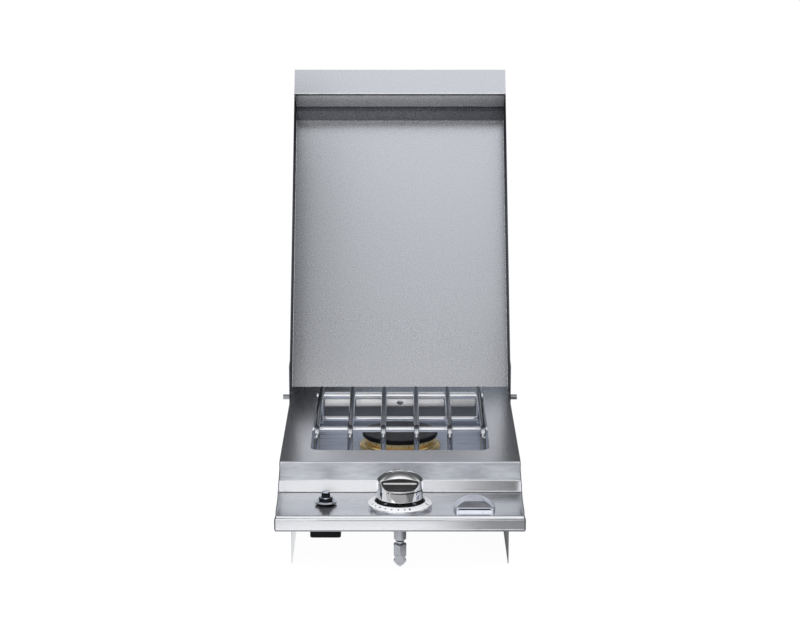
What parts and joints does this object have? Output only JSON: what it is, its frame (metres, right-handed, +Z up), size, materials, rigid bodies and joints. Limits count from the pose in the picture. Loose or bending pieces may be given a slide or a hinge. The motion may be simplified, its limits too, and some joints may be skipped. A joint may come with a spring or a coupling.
{
  "type": "built-in side burner",
  "caption": "Drop-in stainless steel gas side burner for an outdoor kitchen, with a hinged lid, rod grate, round burner, control knob, push igniter and gas inlet below.",
  "frame": {"origin": "in the plane of the countertop, on the middle line of the unit, halfway between the front of the lip and the back of the rear panel", "axes": "+X to the right seen from the front, +Y to the back, +Z up"},
  "size_m": [0.368, 0.8255, 0.6042],
  "materials": {
    "brushed_steel": "brushed satin stainless",
    "lid_steel": "brushed satin stainless",
    "galvanised_steel": "dull mill finish",
    "polished_rod": "polished",
    "cap_enamel": "black, polished edge",
    "brass": "turned",
    "cast_aluminium": "as cast",
    "steel_tube": "satin",
    "chrome": "polished",
    "dark_chrome": "polished, dark",
    "black_plastic": "satin black",
    "grip_rubber": "matte",
    "ceramic": "glazed white",
    "screw_steel": "satin"
  },
  "bodies": {
    "frame": {"top_panel": "brushed_steel", "side_cheek_left": "brushed_steel", "side_cheek_right": "brushed_steel", "rear_panel": "brushed_steel", "control_panel": "brushed_steel", "side_plate_left": "galvanised_steel", "side_plate_right": "galvanised_steel", "box_rear_wall": "galvanised_steel", "burner_bowl": "brushed_steel", "bowl_screws": "screw_steel", "box_screws": "screw_steel", "burner_cup": "cast_aluminium", "burner_base": "brass", "mixing_tube": "steel_tube", "tube_bracket": "galvanised_steel", "gas_jet": "brass", "spark_electrode": "ceramic", "spark_wire": "steel_tube", "gas_valve_body": "cast_aluminium", "valve_screws": "screw_steel", "gas_inlet": "chrome", "swivel_nut": "chrome", "gas_nipple": "chrome", "bezel": "chrome", "igniter_flange": "dark_chrome", "igniter_nut": "dark_chrome", "igniter_barrel": "dark_chrome", "spark_module": "black_plastic", "badge_plate": "chrome", "badge_studs": "screw_steel", "hinge_pin_left": "steel_tube", "hinge_pin_right": "steel_tube", "hinge_washer_left": "galvanised_steel", "hinge_washer_right": "galvanised_steel", "pin_clips": "screw_steel", "lid_stops": "screw_steel"},
    "lid": {"lid": "lid_steel"},
    "grate": {"grate_bar_1": "polished_rod", "grate_bar_2": "polished_rod", "grate_bar_3": "polished_rod", "grate_bar_4": "polished_rod", "grate_bar_5": "polished_rod", "grate_bar_6": "polished_rod", "grate_cross_front": "polished_rod", "grate_cross_rear": "polished_rod", "grate_low_front": "polished_rod", "grate_low_rear": "polished_rod"},
    "flame_ring": {"burner_head": "brass"},
    "cap": {"burner_cap": "cap_enamel"},
    "plug": {"valve_plug": "brass"},
    "knob": {"knob": "chrome", "valve_stem": "steel_tube", "grip_pad_front": "grip_rubber", "grip_pad_rear": "grip_rubber"},
    "button": {"igniter_button": "dark_chrome"},
    "shutter": {"air_shutter": "steel_tube"}
  },
  "joints": [
    {"name": "lid_hinge", "type": "hinge", "parent": "frame", "child": "lid", "pos_m": [0, 0.246, 0.051], "axis": [1, 0, 0], "range_deg": [0, 123.5]},
    {"name": "knob_turn", "type": "hinge", "parent": "frame", "child": "plug", "pos_m": [0, -0.218, 0.02], "axis": [0, 0, 1], "range_deg": [0, 200]},
    {"name": "knob_push", "type": "slide", "parent": "plug", "child": "knob", "axis": [0, 0, -1], "range_m": [0, 0.003], "stiffness_N_per_m": 1200, "springref_m": -0.006},
    {"name": "igniter_push", "type": "slide", "parent": "frame", "child": "button", "axis": [0, 0, -1], "range_m": [0, 0.004], "stiffness_N_per_m": 500, "springref_m": -0.004},
    {"name": "grate_lift_off", "type": "slide", "parent": "frame", "child": "grate", "axis": [0, 0, -1], "range_m": [-0.06, 0]},
    {"name": "flame_ring_lift_off", "type": "slide", "parent": "frame", "child": "flame_ring", "axis": [0, 0, -1], "range_m": [-0.01, 0]},
    {"name": "cap_lift_off", "type": "slide", "parent": "flame_ring", "child": "cap", "axis": [0, 0, -1], "range_m": [-0.016, 0]},
    {"name": "shutter_turn", "type": "hinge", "parent": "frame", "child": "shutter", "pos_m": [0, -0.171, -0.003], "axis": [0, 1, 0], "range_deg": [0, 60]}
  ]
}
